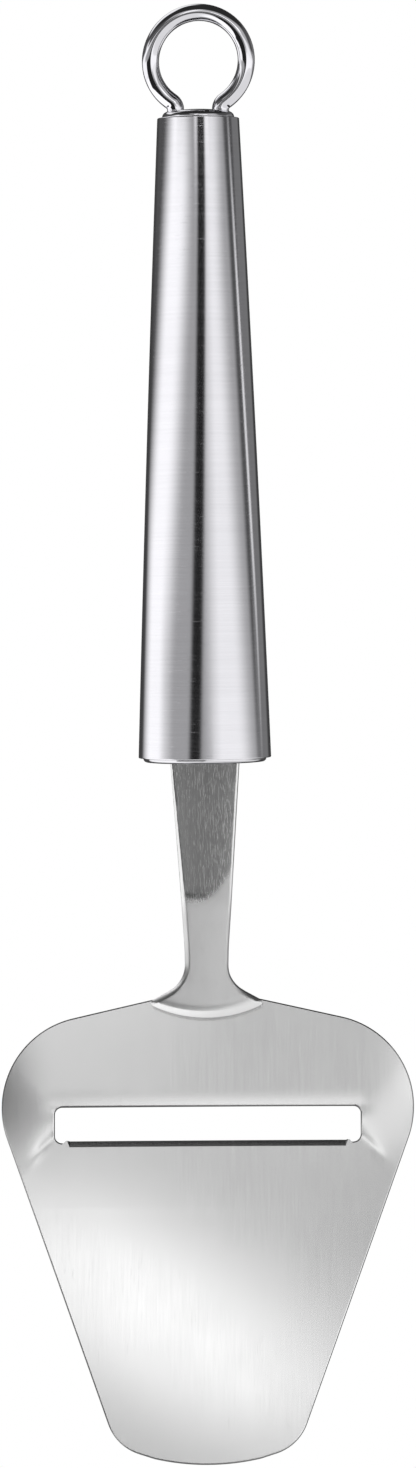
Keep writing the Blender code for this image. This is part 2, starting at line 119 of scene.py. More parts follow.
class Graph:
    def __init__(self, tree):
        self.tree = tree

    def add(self, kind, settings=None, sockets=None, out=0):
        node = self.tree.nodes.new(kind)
        for name, value in (settings or {}).items():
            setattr(node, name, value)
        for key, value in (sockets or {}).items():
            self.feed(pickPlug(node.inputs, key), value)
        return Socket(self, pickPlug(node.outputs, out)) if len(node.outputs) else node

    def feed(self, plug, value):
        if isinstance(value, Socket):
            self.tree.links.new(value.plug, plug)
        else:
            plug.default_value = value

    def blend(self, share, first, second):
        colours = {"Factor_Float": share, "A_Color": first, "B_Color": second}
        return self.add("ShaderNodeMix", {"data_type": "RGBA"}, colours, "Result_Color")

    def noise(self, place, scale, detail, roughness=0.55):
        stretched = self.add("ShaderNodeMapping", None, {"Vector": place, "Scale": scale})
        values = {"Vector": stretched, "Scale": 1.0, "Detail": detail, "Roughness": roughness}
        return self.add("ShaderNodeTexNoise", None, values, "Fac")


def newTree(name, inputs):
    # Geometry tree with named inputs and the name of the socket type of each.
    tree = bpy.data.node_groups.new(name, "GeometryNodeTree")
    tree.interface.new_socket("Geometry", in_out="INPUT", socket_type="NodeSocketGeometry")
    for title, kind in inputs.items():
        tree.interface.new_socket(title, in_out="INPUT", socket_type="NodeSocket" + kind)
    tree.interface.new_socket("Geometry", in_out="OUTPUT", socket_type="NodeSocketGeometry")
    graph = Graph(tree)
    return graph, graph.add("NodeGroupInput", None, None, "Geometry")


def endTree(graph, geometry, start):
    solid = graph.add("GeometryNodeRealizeInstances", None, {"Geometry": geometry})
    dressed = graph.add(
        "GeometryNodeSetMaterial", None, {"Geometry": solid, "Material": start.other("Finish")}
    )
    graph.add("NodeGroupOutput", None, {"Geometry": dressed})


def bakeObject(item):
    # Plain mesh of an object with its modifiers, which is then removed.
    bpy.context.view_layer.update()
    depsgraph = bpy.context.evaluated_depsgraph_get()
    mesh = bpy.data.meshes.new_from_object(item.evaluated_get(depsgraph))
    bpy.data.objects.remove(item)
    return mesh


def placeBlank(name, mesh):
    blank = bpy.data.objects.new(name, mesh)
    scene.collection.objects.link(blank)
    return blank


def growMesh(name, seed, graph, values):
    blank = placeBlank(name, seed)
    modifier = blank.modifiers.new("grow", "NODES")
    modifier.node_group = graph.tree
    for item in graph.tree.interface.items_tree:
        if item.in_out == "INPUT" and item.name in values:
            modifier[item.identifier] = values[item.name]
    return bakeObject(blank)


def cutMesh(name, mesh, cutters):
    blank = placeBlank(name, mesh)
    for cutter in cutters:
        cut = blank.modifiers.new(cutter.name, "BOOLEAN")
        cut.operation = "DIFFERENCE"
        cut.object = cutter
    baked = bakeObject(blank)
    for cutter in cutters:
        bpy.data.objects.remove(cutter)
    return baked


def finishPiece(name, mesh, nodes, even=False):
    mesh.transform(Matrix.Scale(milli, 4))
    mesh.shade_smooth()
    mesh.set_sharp_from_angle(angle=evenAngle if even else smoothAngle)
    mesh.name = name
    piece = placeBlank(name, mesh)
    if even:
        piece.modifiers.new("even shading", "WEIGHTED_NORMAL").keep_sharp = True
    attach(piece, "root")
    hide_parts(*nodes)
    print("piece", name, len(mesh.polygons), "faces")
    return piece


def meshFromPath(name, points, closed=False):
    count = len(points)
    edges = [(index, (index + 1) % count) for index in range(count if closed else count - 1)]
    mesh = bpy.data.meshes.new(name)
    mesh.from_pydata(points, edges, [])
    return mesh


def arcPoints(centre, radius, start, end):
    step = 2 * math.acos(1 - arcSag / radius)
    count = max(4, math.ceil(abs(end - start) / step))
    angles = [start + (end - start) * index / count for index in range(count + 1)]
    return [centre + radius * Vector((math.cos(angle), math.sin(angle))) for angle in angles]


def roundCorner(before, corner, after, radius):
    back = (before - corner).normalized()
    ahead = (after - corner).normalized()
    half = back.angle(ahead) / 2
    centre = corner + (back + ahead).normalized() * (radius / math.sin(half))
    reach = radius / math.tan(half)
    first = corner + back * reach - centre
    last = corner + ahead * reach - centre
    start = math.atan2(first.y, first.x)
    return arcPoints(centre, radius, start, start - first.angle_signed(last))


def roundOutline(corners):
    # Closed outline from (point, radius) corners; a radius of 0 keeps the corner sharp.
    outline = []
    for index, (corner, radius) in enumerate(corners):
        before = corners[index - 1][0]
        after = corners[(index + 1) % len(corners)][0]
        outline += roundCorner(before, corner, after, radius) if radius > 0 else [corner]
    return outline


def mirrorCorners(rightSide, lowerEdge=()):
    bottom = [(point, 0.0) for point in lowerEdge]
    leftSide = [(Vector((-point.x, point.y)), radius) for point, radius in reversed(rightSide)]
    return rightSide + bottom + leftSide


def spread(start, end, pitch):
    count = max(1, math.ceil(abs(end - start) / pitch))
    return [start + (end - start) * index / count for index in range(count + 1)]


# Finishes

def makeSteel(name, look):
    # Metal with fine lines along one direction, cloudy wear and rare scratches.
    material = bpy.data.materials.new(name)
    material.use_nodes = True
    graph = Graph(material.node_tree)
    shader = material.node_tree.nodes["Principled BSDF"]
    place = graph.add("ShaderNodeTexCoord", None, None, "Object")
    lines = graph.noise(place, look["lineScale"], 3.0) - 0.5
    broad = graph.noise(place, look["broadScale"], 2.0) - 0.5
    cloud = graph.noise(place, look["cloudScale"], 3.0) - 0.5
    scratch = graph.noise(place, look["scratchScale"], 1.0)
    rare = scratch.ramp(look["scratchFrom"], look["scratchFrom"] + look["scratchSoft"])
    tone = lines * look["lineTone"] + broad * look["broadTone"] + cloud * look["cloudTone"]
    tone = (tone + rare * look["scratchTone"] + 0.5).clamp()
    dark = tuple(part * (1 - look["toneRange"]) for part in look["colour"])
    light = tuple(min(part * (1 + look["toneRange"]), 1.0) for part in look["colour"])
    base = graph.blend(tone, (*dark, 1.0), (*light, 1.0))
    rough = lines * look["lineRough"] + cloud * look["cloudRough"] + rare * look["scratchRough"]
    rough = rough + look["roughness"]
    height = lines + broad * look["broadHeight"] + rare * look["scratchHeight"]
    if "rimShadeColour" in look:
        # Painted shade: marked rims are painted dark as a dark outline, and made rougher.
        rim = graph.add("ShaderNodeAttribute", {"attribute_name": "rim"}, None, "Fac")
        base = graph.blend(rim, base, look["rimShadeColour"])
        rough = rough + rim * look["rimRough"]
    if "patchRough" in look:
        # Ground again by hand below a slanting line, towards the weld: rougher and with fainter lines. Its
        # lighter colour is a painted highlight that stands in for the brighter reflection below the bend.
        across = graph.add("ShaderNodeSeparateXYZ", None, {"Vector": place}, "X")
        sideways = across * (1 / milli)
        border = sideways * sideways * look["patchBend"] + sideways * look["patchSlope"] + look["patchAt"]
        patch = (across.other("Z") * (1 / milli) - border).ramp(look["patchSoft"], -look["patchSoft"])
        base = graph.blend(patch, base, look["patchHighlightColour"])
        rough = rough + patch * look["patchRough"]
        height = height * (1.0 - patch * look["patchEven"])
    if "faceShadeColour" in look:
        # Painted shade: below a level, the cup's face and lower rounding are painted dark, a dark outline
        # where its underside falls in shade.
        level = graph.add("ShaderNodeSeparateXYZ", None, {"Vector": place}, "Z") * (1 / milli)
        face = level.ramp(look["faceShadeAt"] + look["faceShadeSoft"], look["faceShadeAt"] - look["faceShadeSoft"])
        base = graph.blend(face, base, look["faceShadeColour"])
    graph.feed(shader.inputs["Base Color"], base)
    graph.feed(shader.inputs["Roughness"], rough.clamp())
    bump = {"Strength": look["bump"], "Distance": look["bumpDepth"], "Height": height}
    graph.feed(shader.inputs["Normal"], graph.add("ShaderNodeBump", None, bump))
    shader.inputs["Metallic"].default_value = 1.0
    return material


handleLook = {
    "colour": (0.71, 0.705, 0.735),
    "toneRange": 0.12,
    "roughness": 0.07,
    "lineScale": (70.0, 70.0, 5200.0),
    "broadScale": (40.0, 40.0, 900.0),
    "cloudScale": (45.0, 45.0, 45.0),
    "scratchScale": (350.0, 350.0, 9000.0),
    "scratchFrom": 0.68,
    "scratchSoft": 0.08,
    "lineTone": 0.5,
    "broadTone": 0.3,
    "cloudTone": 0.5,
    "scratchTone": 0.2,
    "lineRough": 0.06,
    "cloudRough": 0.03,
    "scratchRough": 0.08,
    "broadHeight": 0.5,
    "scratchHeight": 0.5,
    "bump": 0.03,
    "bumpDepth": 0.00002,
}
plateLook = {
    "colour": (0.72, 0.72, 0.72),
    "toneRange": 0.12,
    "roughness": 0.17,
    "lineScale": (3600.0, 130.0, 130.0),
    "broadScale": (700.0, 30.0, 30.0),
    "cloudScale": (60.0, 60.0, 60.0),
    "scratchScale": (6000.0, 300.0, 300.0),
    "scratchFrom": 0.68,
    "scratchSoft": 0.08,
    "lineTone": 0.22,
    "broadTone": 0.05,
    "cloudTone": 0.3,
    "scratchTone": 0.04,
    "lineRough": 0.05,
    "cloudRough": 0.05,
    "scratchRough": 0.03,
    "broadHeight": 0.4,
    "scratchHeight": 0.15,
    "bump": 0.05,
    "bumpDepth": 0.00002,
    # Painted shade: dark colour of the sheared rims, a dark outline.
    "rimShadeColour": (0.18, 0.18, 0.18, 1.0),
    "rimRough": 0.25,
}
barLook = dict(
    plateLook,
    colour=(0.66, 0.66, 0.66),
    roughness=0.13,
    lineTone=1.3,
    broadTone=0.1,
    lineRough=0.08,
    scratchScale=(9000.0, 600.0, 600.0),
    scratchFrom=0.58,
    scratchTone=0.0,
    scratchRough=0.08,
    scratchHeight=1.0,
    bump=0.25,
    patchAt=-146.3,
    patchSlope=0.55,
    patchBend=0.15,
    patchSoft=1.3,
    patchRough=0.24,
    patchEven=0.85,
    # Painted highlight: the ground patch is painted lighter, for the brighter reflection below the bend.
    patchHighlightColour=(0.82, 0.82, 0.82, 1.0),
)
cupLook = dict(
    handleLook,
    colour=(0.66, 0.655, 0.68),
    # Painted shade: below this level the cup is painted dark, as a dark outline under its rounding.
    faceShadeAt=-123.05,
    faceShadeSoft=0.08,
    faceShadeColour=(0.16, 0.16, 0.17, 1.0),
)
wireLook = dict(handleLook, roughness=0.03, lineScale=(900.0, 900.0, 900.0), lineTone=0.2, bump=0.03)
weldLook = dict(
    handleLook,
    colour=(0.42, 0.41, 0.40),
    roughness=0.45,
    lineScale=(1500.0, 300.0, 1500.0),
    broadScale=(700.0, 200.0, 200.0),
    toneRange=0.4,
    bump=0.5,
)
handleSteel = makeSteel("handleSteel", handleLook)
cupSteel = makeSteel("cupSteel", cupLook)
plateSteel = makeSteel("plateSteel", plateLook)
barSteel = makeSteel("barSteel", barLook)
wireSteel = makeSteel("wireSteel", wireLook)
weldMetal = makeSteel("weldMetal", weldLook)
print("finishes made")


# Turned pieces

handle = {
    "rearRim": -15.991,
    "length": 106.6,
    "rearRadius": 6.825,
    "frontRadius": 11.1,
    "swell": 0.16,
    "wall": 0.6,
    "rimRound": 0.15,
    "rowPitch": 2.0,
    "rimRow": 0.04,
    "steps": 288,
}
cap = {
    "gap": 0.2,
    "lip": 0.1,
    "rearCrown": 0.4,
    "rearRound": 1.0,
    "rearDepth": 4.5,
    "frontCrown": 0.3,
    "frontRound": 0.6,
    "frontDepth": 5.0,
    "frontWall": 1.2,
    "domeRings": 10,
    "holeSides": 64,
    "drillLength": 20.0,
    "steps": 192,
}


def makeTurnTree():
    # Sweeps a profile round the axis; profile x is radial, y runs downwards from the level.
    inputs = {
        "Rear Radius": "Float",
        "Front Radius": "Float",
        "Swell": "Float",
        "Length": "Float",
        "Level": "Float",
        "Guide Radius": "Float",
        "Steps": "Int",
        "Finish": "Material",
    }
    graph, start = newTree("turnProfile", inputs)
    place = graph.add("GeometryNodeInputPosition")
    depth = graph.add("ShaderNodeSeparateXYZ", None, {"Vector": place}, "Y")
    share = depth / start.other("Length")
    taper = (start.other("Front Radius") - start.other("Rear Radius")) * share
    bulge = start.other("Swell") * 4.0 * share * (1.0 - share)
    radius = start.other("Rear Radius") + taper + bulge - start.other("Guide Radius")
    shift = graph.add("ShaderNodeCombineXYZ", None, {"X": radius})
    shaped = graph.add("GeometryNodeSetPosition", None, {"Geometry": start, "Offset": shift})
    profile = graph.add("GeometryNodeMeshToCurve", None, {"Mesh": shaped})
    circle = {"Resolution": start.other("Steps"), "Radius": start.other("Guide Radius")}
    guide = graph.add("GeometryNodeCurvePrimitiveCircle", None, circle)
    upright = graph.add("GeometryNodeSetCurveNormal", {"mode": "Z_UP"}, {"Curve": guide})
    sweep = {"Curve": upright, "Profile Curve": profile}
    turned = graph.add("GeometryNodeCurveToMesh", None, sweep)
    joined = graph.add("GeometryNodeMergeByDistance", None, {"Geometry": turned, "Distance": samePlace})
    lift = graph.add("ShaderNodeCombineXYZ", None, {"Z": start.other("Level")})
    raised = graph.add("GeometryNodeTransform", None, {"Geometry": joined, "Translation": lift})
    endTree(graph, raised, start)
    return graph


def turnMesh(name, profile, closed, sizes, finish):
    seed = meshFromPath(name, [(radius, depth, 0.0) for radius, depth in profile], closed)
    values = {
        "Rear Radius": sizes.get("rearRadius", 0.0),
        "Front Radius": sizes.get("frontRadius", 0.0),
        "Swell": sizes.get("swell", 0.0),
        "Length": handle["length"],
        "Level": handle["rearRim"],
        "Guide Radius": handle["frontRadius"],
        "Steps": sizes["steps"],
        "Finish": finish,
    }
    return growMesh(name, seed, turnTree, values)


def handleBore(depth):
    share = depth / handle["length"]
    straight = handle["rearRadius"] + (handle["frontRadius"] - handle["rearRadius"]) * share
    return straight + 4 * handle["swell"] * share * (1 - share) - handle["wall"]


def handleProfile():
    # Radial offsets from the outer surface.
    rim = handle["rimRound"]
    length = handle["length"]
    depths = spread(rim, length - rim, handle["rowPitch"])
    rear = [(point.x, point.y) for point in arcPoints(Vector((-rim, rim)), rim, -math.pi / 2, 0.0)]
    front = [(point.x, point.y) for point in arcPoints(Vector((-rim, length - rim)), rim, 0.0, math.pi / 2)]
    rows = [rim + handle["rimRow"]] + depths[1:-1] + [length - rim - handle["rimRow"]]
    outside = [(0.0, depth) for depth in rows]
    inside = [(-handle["wall"], depth) for depth in reversed(depths)]
    return rear + outside + front + inside


def domedFace(radius, rounding, crown, rise):
    # Cap face from its middle to its side, heights above the rim.
    flat = radius - rounding
    rings = cap["domeRings"]
    face = [(flat * ring / rings, rise - crown * (ring / rings) ** 2) for ring in range(rings)]
    shoulder = Vector((flat, rise - crown - rounding))
    face += [(point.x, point.y) for point in arcPoints(shoulder, rounding, math.pi / 2, 0.0)]
    return face


def boxCutter(name, size, place):
    box = bmesh.new()
    bmesh.ops.create_cube(box, size=1.0)
    bmesh.ops.scale(box, vec=size, verts=box.verts)
    mesh = bpy.data.meshes.new(name)
    box.to_mesh(mesh)
    box.free()
    cutter = placeBlank(name, mesh)
    cutter.location = place
    return cutter


def holeCutter(name, radius, length, place):
    hole = bmesh.new()
    bmesh.ops.create_cone(
        hole,
        cap_ends=True,
        segments=cap["holeSides"],
        radius1=radius,
        radius2=radius,
        depth=length,
    )
    mesh = bpy.data.meshes.new(name)
    hole.to_mesh(mesh)
    hole.free()
    cutter = placeBlank(name, mesh)
    cutter.location = place
    return cutter


def makeRearPlug():
    radius = handleBore(0.0) - cap["gap"]
    rise = cap["lip"] + cap["rearRound"] + cap["rearCrown"]
    face = domedFace(radius, cap["rearRound"], cap["rearCrown"], rise)
    profile = [(across, -height) for across, height in face]
    profile += [(radius, cap["rearDepth"]), (0.0, cap["rearDepth"])]
    mesh = turnMesh("rearPlug", profile, False, cap, handleSteel)
    reach = loop["legSpacing"] / 2
    bore = loop["wire"] / 2 + cap["gap"]
    holes = []
    for side, label in ((-1, "Left"), (1, "Right")):
        place = (side * reach, 0.0, handle["rearRim"])
        holes.append(holeCutter("legHole" + label, bore, cap["drillLength"], place))
    mesh = cutMesh("rearPlug", mesh, holes)
    return finishPiece("rearPlug", mesh, ["rear_cap"], True)


def makeFrontCup():
    length = handle["length"]
    radius = handleBore(length) - cap["gap"]
    rise = cap["lip"] + cap["frontRound"] + cap["frontCrown"]
    floor = length + rise - cap["frontWall"]
    skirt = length - cap["frontDepth"]
    skirtRadius = handleBore(skirt) - cap["gap"]
    profile = [
        (0.0, floor),
        (radius - cap["frontWall"], floor),
        (skirtRadius - cap["frontWall"], skirt),
        (skirtRadius, skirt),
        (radius, length),
    ]
    face = domedFace(radius, cap["frontRound"], cap["frontCrown"], rise)
    profile += [(across, length + height) for across, height in reversed(face)]
    mesh = turnMesh("frontCup", profile, False, cap, cupSteel)
    size = (shank["width"] + 2 * cap["gap"], shank["thickness"] + 2 * cap["gap"], 4 * cap["frontWall"])
    slot = boxCutter("tangSlot", size, (0.0, 0.0, handle["rearRim"] - (length + rise + floor) / 2))
    mesh = cutMesh("frontCup", mesh, [slot])
    return finishPiece("frontCup", mesh, ["front_cap"], True)


# Hanging loop

loop = {
    "wire": 2.85,
    "inside": 13.1,
    "legSpacing": 7.5,
    "bend": 1.6,
    "legDepth": 7.0,
    "lean": math.radians(6.0),
    "twist": math.radians(1.0),
    "sway": math.radians(1.2),
    "sides": 40,
}


def loopPath():
    # Ring and two reversed bends in one plane, running into straight legs.
    ringRadius = (loop["inside"] + loop["wire"]) / 2
    ringCentre = Vector((0.0, -loop["inside"] / 2))
    bendX = loop["legSpacing"] / 2 + loop["bend"]
    drop = math.sqrt((ringRadius + loop["bend"]) ** 2 - bendX**2)
    lean = math.atan2(drop, bendX)
    bendCentre = Vector((bendX, ringCentre.y - drop))
    ring = arcPoints(ringCentre, ringRadius, math.pi / 2, -lean)
    bend = arcPoints(bendCentre, loop["bend"], math.pi - lean, math.pi)
    end = Vector((loop["legSpacing"] / 2, handle["rearRim"] - loop["legDepth"]))
    right = ring + bend[1:] + [end]
    left = [Vector((-point.x, point.y)) for point in reversed(right[1:])]
    # The ring sits a little askew above the rear plug.
    foot = handle["rearRim"] + cap["lip"] + cap["rearRound"] + cap["rearCrown"]
    path = []
    for point in left + right:
        rise = max(point.y - foot, 0.0)
        turn = loop["twist"] * min(rise / loop["wire"], 1.0)
        across = point.x * math.cos(turn) + rise * math.tan(loop["sway"])
        path.append((across, point.x * math.sin(turn) - rise * math.tan(loop["lean"]), point.y))
    return path


def makeWireTree():
    # Round wire along a path, closed at both ends.
    inputs = {"Wire Diameter": "Float", "Sides": "Int", "Finish": "Material"}
    graph, start = newTree("sweepWire", inputs)
    path = graph.add("GeometryNodeMeshToCurve", None, {"Mesh": start})
    ring = {"Resolution": start.other("Sides"), "Radius": start.other("Wire Diameter") / 2.0}
    profile = graph.add("GeometryNodeCurvePrimitiveCircle", None, ring)
    sweep = {"Curve": path, "Profile Curve": profile, "Fill Caps": True}
    wire = graph.add("GeometryNodeCurveToMesh", None, sweep)
    endTree(graph, wire, start)
    return graph


def makeLoop():
    seed = meshFromPath("hangingLoop", loopPath())
    values = {"Wire Diameter": loop["wire"], "Sides": loop["sides"], "Finish": wireSteel}
    mesh = growMesh("hangingLoop", seed, makeWireTree(), values)
    return finishPiece("hangingLoop", mesh, ["hanging_loop"])


# Shank

shank = {
    "thickness": 2.5,
    "width": 11.5,
    "tang": 18.0,
    "capRise": 1.0,
    "kneeRise": 9.7,
    "kneeWidth": 7.35,
    "kneeRadius": 40.0,
    "neckWidth": 7.15,
    "flareRadius": 5.0,
    "footWidth": 18.5,
    "footTipAt": 17.41,
    "footTipRadius": 0.6,
    "footSlope": math.radians(28.0),
    "footBulge": 2.2,
    "bendAt": 24.2,
    "bendAngle": math.radians(12.0),
    "bendRadius": 25.0,
    "edgeRound": 0.9,
    "edgeTop": 0.28,
    "edgeLow": 0.8,
    "edgeFoot": 1.25,
    "edgeEnd": -26.0,
    "edgePower": 1.3,
    "footPower": 1.05,
    "footSteep": 0.75,
    "edgeSteps": 11,
    "acrossSteps": 26,
    "rowSqueeze": 0.7,
    "sideStretch": 1.3,
    "rowPitch": 0.6,
    "footFade": 7.0,
    "crown": 0.14,
    "crownFrom": 0.0,
    "crownTo": -8.0,
}


def shankFlank():
    # Right flank of the flat bar downwards, then half of the foot's lower edge to the middle.
    saving = 2 * shank["bendRadius"] * math.tan(shank["bendAngle"] / 2)
    saving -= shank["bendRadius"] * shank["bendAngle"]
    pathEnd = shank["bendAt"] + shank["footTipAt"] + shank["footBulge"] - saving
    half = shank["footWidth"] / 2
    radius = (half**2 + shank["footBulge"] ** 2) / (2 * shank["footBulge"])
    tipAngle = shank["footSlope"] + math.asin(half / radius)
    sharp = half + shank["footTipRadius"] * (1 / math.sin(tipAngle / 2) - 1)
    lean = math.asin(sharp / radius)
    edge = arcPoints(Vector((0.0, -pathEnd + radius)), radius, -math.pi / 2 + lean, -math.pi / 2)
    tip = edge[0]
    neck = shank["neckWidth"] / 2
    flare = Vector((neck, tip.y + (tip.x - neck) * math.tan(shank["footSlope"])))
    knee = Vector((shank["kneeWidth"] / 2, -pathEnd + shank["footBulge"] + shank["kneeRise"]))
    top = Vector((shank["width"] / 2, shank["tang"]))
    mouth = Vector((shank["width"] / 2, -shank["capRise"]))
    flank = [top, mouth]
    flank += roundCorner(mouth, knee, flare, shank["kneeRadius"])
    flank += roundCorner(knee, flare, tip, shank["flareRadius"])
    corner = roundCorner(flare, tip, edge[1], shank["footTipRadius"])
    middle = len(corner) // 2
    lower = [point for point in edge if point.x < corner[-1].x]
    return flank + corner[: middle + 1], corner[middle:] + lower


def bendBar(across, along, front):
    # Carries flat bar coordinates round the bend, all as arrays.
    angle = shank["bendAngle"]
    radius = shank["bendRadius"]
    start = shank["bendAt"] - radius * math.tan(angle / 2)
    travel = -along - start
    turned = np.clip(travel / radius, 0.0, angle)
    straight = travel - radius * turned
    down = -start - radius * np.sin(turned) - np.cos(turned) * straight + np.sin(turned) * front
    out = radius * (1 - np.cos(turned)) + np.sin(turned) * straight + np.cos(turned) * front
    rim = handle["rearRim"] - handle["length"]
    return np.stack([across, -out, down + rim], axis=-1)


def outlineDistance(points, outline):
    # Shortest distance of each point to the segments of an open line.
    best = np.full(len(points), np.inf)
    for first, last in zip(outline[:-1], outline[1:]):
        side = last - first
        share = np.clip((points - first) @ side / (side @ side), 0.0, 1.0)
        best = np.minimum(best, np.linalg.norm(points - first - share[:, None] * side, axis=1))
    return best


def edgeReach(across, along, tipLevel):
    # Width of the broken edge, which grows down the left flank, and its share of the foot's chamfer.
    share = np.clip(along / shank["edgeEnd"], 0.0, 1.0)
    left = shank["edgeTop"] + (shank["edgeLow"] - shank["edgeTop"]) * share
    flank = np.where(across < 0, left, shank["edgeTop"])
    low = np.clip((tipLevel + shank["footBulge"] - along) / shank["footBulge"], 0.0, 1.0)
    return flank + (shank["edgeFoot"] - flank) * low, low


def makeShank():
    flank, lower = shankFlank()
    flankLine = np.array([tuple(point) for point in flank])
    lowerLine = np.array([tuple(point) for point in lower])
    tip = flankLine[-1]
    roundSteps = 1 - np.cos(np.linspace(0.0, math.pi / 2, shank["edgeSteps"]))
    inset = shank["edgeRound"] * roundSteps
    # Rows from the lower edge upwards, close together where the edge is rounded.
    rowInset = inset * shank["rowSqueeze"]
    sideInset = inset * shank["sideStretch"]
    upper = np.arange(rowInset[-1], shank["tang"] - tip[1], shank["rowPitch"])[1:]
    rise = np.concatenate([rowInset, upper])
    rows = []
    for lift in rise:
        level = tip[1] + lift
        halfWidth = np.interp(level, flankLine[::-1, 1], flankLine[::-1, 0])
        middle = np.linspace(0.0, halfWidth - sideInset[-1], shank["acrossSteps"])
        right = np.concatenate([middle, (halfWidth - sideInset)[::-1][1:]])
        across = np.concatenate([-right[:0:-1], right])
        sag = np.interp(np.abs(across) / halfWidth * tip[0], lowerLine[::-1, 0], lowerLine[::-1, 1]) - tip[1]
        fade = max(1 - lift / shank["footFade"], 0.0) ** 2
        rows.append(np.stack([across, level + sag * fade], axis=-1))
    grid = np.array(rows)
    count = grid.shape[:2]
    flat = grid.reshape(-1, 2)
    edge = np.concatenate([flankLine, lowerLine[1:]])
    mirrored = np.abs(flat[:, 0])
    distance = outlineDistance(np.stack([mirrored, flat[:, 1]], axis=-1), edge)
    reach, low = edgeReach(flat[:, 0], flat[:, 1], tip[1])
    inner = np.clip(1 - distance / reach, 0.0, 1.0)
    power = shank["edgePower"] + (shank["footPower"] - shank["edgePower"]) * low
    steep = 1 + (shank["footSteep"] - 1) * low
    fall = reach * steep * (1 - (1 - inner**power) ** (1 / power))
    height = shank["thickness"] / 2 - fall
    halfWidth = np.repeat(np.abs(grid[:, -1, 0]), count[1])
    onset = np.clip((flat[:, 1] - shank["crownFrom"]) / (shank["crownTo"] - shank["crownFrom"]), 0.0, 1.0)
    crown = shank["crown"] * (mirrored / halfWidth) ** 2 * onset
    front = bendBar(flat[:, 0], flat[:, 1], height - crown)
    back = bendBar(flat[:, 0], flat[:, 1], -height)
    points = np.concatenate([front, back])
    index = np.arange(count[0] * count[1]).reshape(count)
    faces = []
    for row in range(count[0] - 1):
        for column in range(count[1] - 1):
            lowerPair = index[row, column : column + 2]
            upperPair = index[row + 1, column : column + 2]
            quad = [lowerPair[0], lowerPair[1], upperPair[1], upperPair[0]]
            faces.append(quad)
            faces.append([corner + len(front) for corner in reversed(quad)])
    rim = list(index[0, :]) + list(index[1:, -1]) + list(index[-1, -2::-1]) + list(index[-2:0:-1, 0])
    for first, last in zip(rim, rim[1:] + rim[:1]):
        faces.append([last, first, first + len(front), last + len(front)])
    mesh = bpy.data.meshes.new("shankBar")
    mesh.from_pydata(points.tolist(), [], [[int(corner) for corner in face] for face in faces])
    mesh.materials.append(barSteel)
    return finishPiece("shankBar", mesh, ["shank"])


# Blade

blade = {
    "sheet": 1.2,
    "width": 68.9,
    "length": 79.5,
    "topAt": 14.21,
    "topSlope": math.radians(12.7),
    "sideSlope": math.radians(19.8),
    "shoulderRadius": 15.3,
    "tipRadius": 39.0,
    "tipCorner": 8.0,
    "tipClear": 6.0,
    "rimRound": 0.22,
    "rimSteps": 3,
    "rimSteep": 0.75,
    "rimAngle": math.radians(60.0),
    "slotTop": 20.0,
    "slotHeight": 5.6,
    "strip": 8.9,
    "slotUpper": 1.2,
    "slotLower": 1.3,
    "lipInset": 1.9,
    "lipRelief": 0.4,
    "bevelRun": 1.1,
    "bevelRunout": 1.2,
    "bevelFacing": 0.5,
    "edgeLand": 0.1,
    "edgeDrop": 0.25,
    "stripFall": 1.3,
    "stripRise": 1.2,
    "foldShare": 0.8,
    "curlRadius": 200.0,
    "curlAt": 19.0,
    "curlReach": 15.0,
    "lipLift": -0.07,
    "lipRun": 3.0,
    "creaseBeside": 2.2,
    "creaseBelow": 1.6,
    "creaseLean": math.radians(53.0),
    "creaseLong": 2.2,
    "creaseWide": 0.6,
    "creaseDepth": 0.05,
    "bowRadius": 400.0,
    "crownRadius": 900.0,
    "formPitch": 0.5,
    "platePitch": 2.0,
}
cutAt = blade["slotTop"] + blade["slotHeight"]
slotEnd = blade["width"] / 2 - blade["strip"]
lipHalf = slotEnd - blade["lipInset"]


def bladeOutline():
    topSlope = math.tan(blade["topSlope"])
    sideSlope = math.tan(blade["sideSlope"])
    shoulder = blade["shoulderRadius"]
    shoulderX = blade["width"] / 2 - shoulder
    shoulderY = -topSlope * shoulderX - shoulder / math.cos(blade["topSlope"])
    sideX = shoulderX + shoulder * math.cos(blade["sideSlope"])
    sideY = shoulderY - shoulder * math.sin(blade["sideSlope"])
    sideStart = sideX - sideSlope * sideY
    cornerX = sideStart / (1 + sideSlope * topSlope)
    corner = Vector((cornerX, -topSlope * cornerX))
    centre = Vector((0.0, -blade["length"] + blade["tipRadius"]))
    offset = sideStart + sideSlope * centre.y
    square = 1 + sideSlope**2
    drop = math.sqrt(square * blade["tipRadius"] ** 2 - offset**2)
    tipY = (-sideSlope * offset - drop) / square
    lean = math.acos(-tipY / blade["tipRadius"])
    tipArc = arcPoints(centre, blade["tipRadius"], -math.pi / 2 + lean, -math.pi / 2 - lean)
    right = [(corner, shoulder), (tipArc[0], blade["tipCorner"])]
    inside = [point for point in tipArc if abs(point.x) < tipArc[0].x - blade["tipClear"]]
    return roundOutline([(Vector((0.0, 0.0)), 0.0)] + mirrorCorners(right, inside))


def slotOutline():
    floor = -cutAt - blade["lipRelief"]
    step = lipHalf + blade["lipRelief"]
    right = [
        (Vector((slotEnd, -blade["slotTop"])), blade["slotUpper"]),
        (Vector((slotEnd, floor)), blade["slotLower"]),
        (Vector((step, floor)), 0.0),
        (Vector((lipHalf, -cutAt)), 0.0),
    ]
    return roundOutline(mirrorCorners(right))


def flatSheet(name, outlines, thickness):
    curve = bpy.data.curves.new(name, "CURVE")
    curve.dimensions = "2D"
    curve.fill_mode = "BOTH"
    curve.extrude = thickness / 2
    for outline in outlines:
        spline = curve.splines.new("POLY")
        spline.points.add(len(outline) - 1)
        for point, place in zip(spline.points, outline):
            point.co = (place.x, place.y, 0.0, 1.0)
        spline.use_cyclic_u = True
    sheet = bmesh.new()
    sheet.from_mesh(bakeObject(placeBlank(name, curve)))
    bmesh.ops.remove_doubles(sheet, verts=sheet.verts, dist=samePlace)
    joinFlat(sheet)
    bmesh.ops.recalc_face_normals(sheet, faces=sheet.faces)
    return sheet


def joinFlat(sheet):
    bmesh.ops.dissolve_limit(sheet, angle_limit=flatAngle, verts=sheet.verts, edges=sheet.edges)


